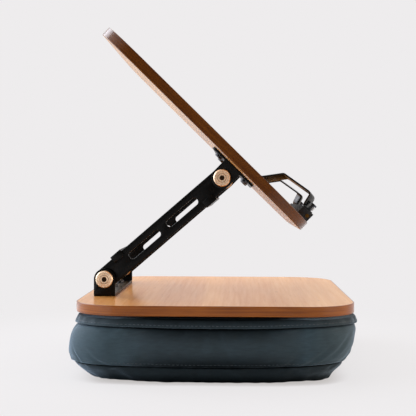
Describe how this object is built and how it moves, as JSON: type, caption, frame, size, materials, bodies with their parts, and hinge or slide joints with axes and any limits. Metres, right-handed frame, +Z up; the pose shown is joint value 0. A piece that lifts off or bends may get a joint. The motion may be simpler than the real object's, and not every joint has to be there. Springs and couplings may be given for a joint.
{
  "type": "book holder pillow",
  "caption": "Lap stand for reading: a stuffed cushion under a board, slotted folding arms, and a book plate with a ledge and sprung page clips.",
  "frame": {"origin": "on the floor under the middle of the base board, at the flat underside of the cushion", "axes": "+X towards the reader, +Y to the reader's right along the hinge axes, +Z up"},
  "size_m": [0.2634, 0.3132, 0.3127],
  "materials": {
    "wood_veneer": "satin",
    "edge_band": "satin",
    "fastening_tape": "matte",
    "cushion_fabric": "matte",
    "cushion_filling": "matte",
    "black_steel": "satin",
    "dark_screw": "gloss",
    "copper_plate": "satin",
    "washer_nylon": "matte",
    "black_aluminium": "satin",
    "cap_plastic": "matte",
    "brass_screw": "gloss",
    "zinc_steel": "satin"
  },
  "bodies": {
    "base": {"base_board": "wood_veneer", "base_edge_band": "edge_band", "hook_strips": "fastening_tape", "loop_strips": "fastening_tape", "cushion_top_panel": "cushion_fabric", "cushion_side_panel": "cushion_fabric", "cushion_base_panel": "cushion_fabric", "cushion_filling": "cushion_filling", "lower_bracket": "black_steel", "lower_bracket_screws": "dark_screw", "lower_hinge_bolts": "copper_plate", "lower_sleeve_nuts": "copper_plate", "lower_friction_washers": "washer_nylon"},
    "arm": {"near_arm_bar": "black_steel", "far_arm_bar": "black_steel", "lower_cross_brace": "black_steel", "upper_cross_brace": "black_steel"},
    "upper_pivots": {"upper_hinge_bolts": "copper_plate", "upper_sleeve_nuts": "copper_plate", "upper_friction_washers": "washer_nylon"},
    "reading_plate": {"upper_bracket": "black_steel", "upper_bracket_screws": "dark_screw", "book_plate": "wood_veneer", "plate_edge_band": "edge_band", "book_ledge": "black_aluminium", "ledge_end_caps": "cap_plastic", "ledge_end_screws": "brass_screw", "ledge_screws": "dark_screw", "clip_posts": "zinc_steel"},
    "near_clip_turn": {"near_clip_spring": "zinc_steel"},
    "near_clip": {"near_page_clip": "black_steel"},
    "far_clip_turn": {"far_clip_spring": "zinc_steel"},
    "far_clip": {"far_page_clip": "black_steel"}
  },
  "joints": [
    {"name": "arm_fold", "type": "hinge", "parent": "base", "child": "arm", "pos_m": [-0.1045, 0, 0.0835], "axis": [0, -1, 0], "range_deg": [-40.9, 30]},
    {"name": "plate_fold", "type": "hinge", "parent": "arm", "child": "upper_pivots", "pos_m": [0.00555, 0, 0.17883], "axis": [0, 1, 0], "range_deg": [-85.5, 62.8]},
    {"name": "plate_tilt", "type": "hinge", "parent": "upper_pivots", "child": "reading_plate", "pos_m": [0.00555, 0, 0.17883], "axis": [0, 1, 0], "range_deg": [-1.5, 18]},
    {"name": "near_clip_swing", "type": "hinge", "parent": "reading_plate", "child": "near_clip_turn", "pos_m": [0.08526, -0.0835, 0.14827], "axis": [0.7003, 0, 0.7139], "range_deg": [-75, 80]},
    {"name": "near_clip_lift", "type": "hinge", "parent": "near_clip_turn", "child": "near_clip", "pos_m": [0.08803, -0.0835, 0.14569], "axis": [0, 1, 0], "range_deg": [0, 3.5], "stiffness_Nm_per_rad": 0.3, "springref_deg": -17.19, "deforming": ["near_clip_spring"]},
    {"name": "far_clip_swing", "type": "hinge", "parent": "reading_plate", "child": "far_clip_turn", "pos_m": [0.08526, 0.0835, 0.14827], "axis": [-0.7003, 0, -0.7139], "range_deg": [-75, 80]},
    {"name": "far_clip_lift", "type": "hinge", "parent": "far_clip_turn", "child": "far_clip", "pos_m": [0.08803, 0.0835, 0.14569], "axis": [0, 1, 0], "range_deg": [0, 3.5], "stiffness_Nm_per_rad": 0.3, "springref_deg": -17.19, "deforming": ["far_clip_spring"]}
  ],
  "couplings": [
    {"joint": "plate_fold", "follows": "arm_fold", "ratio": 2.0868}
  ]
}
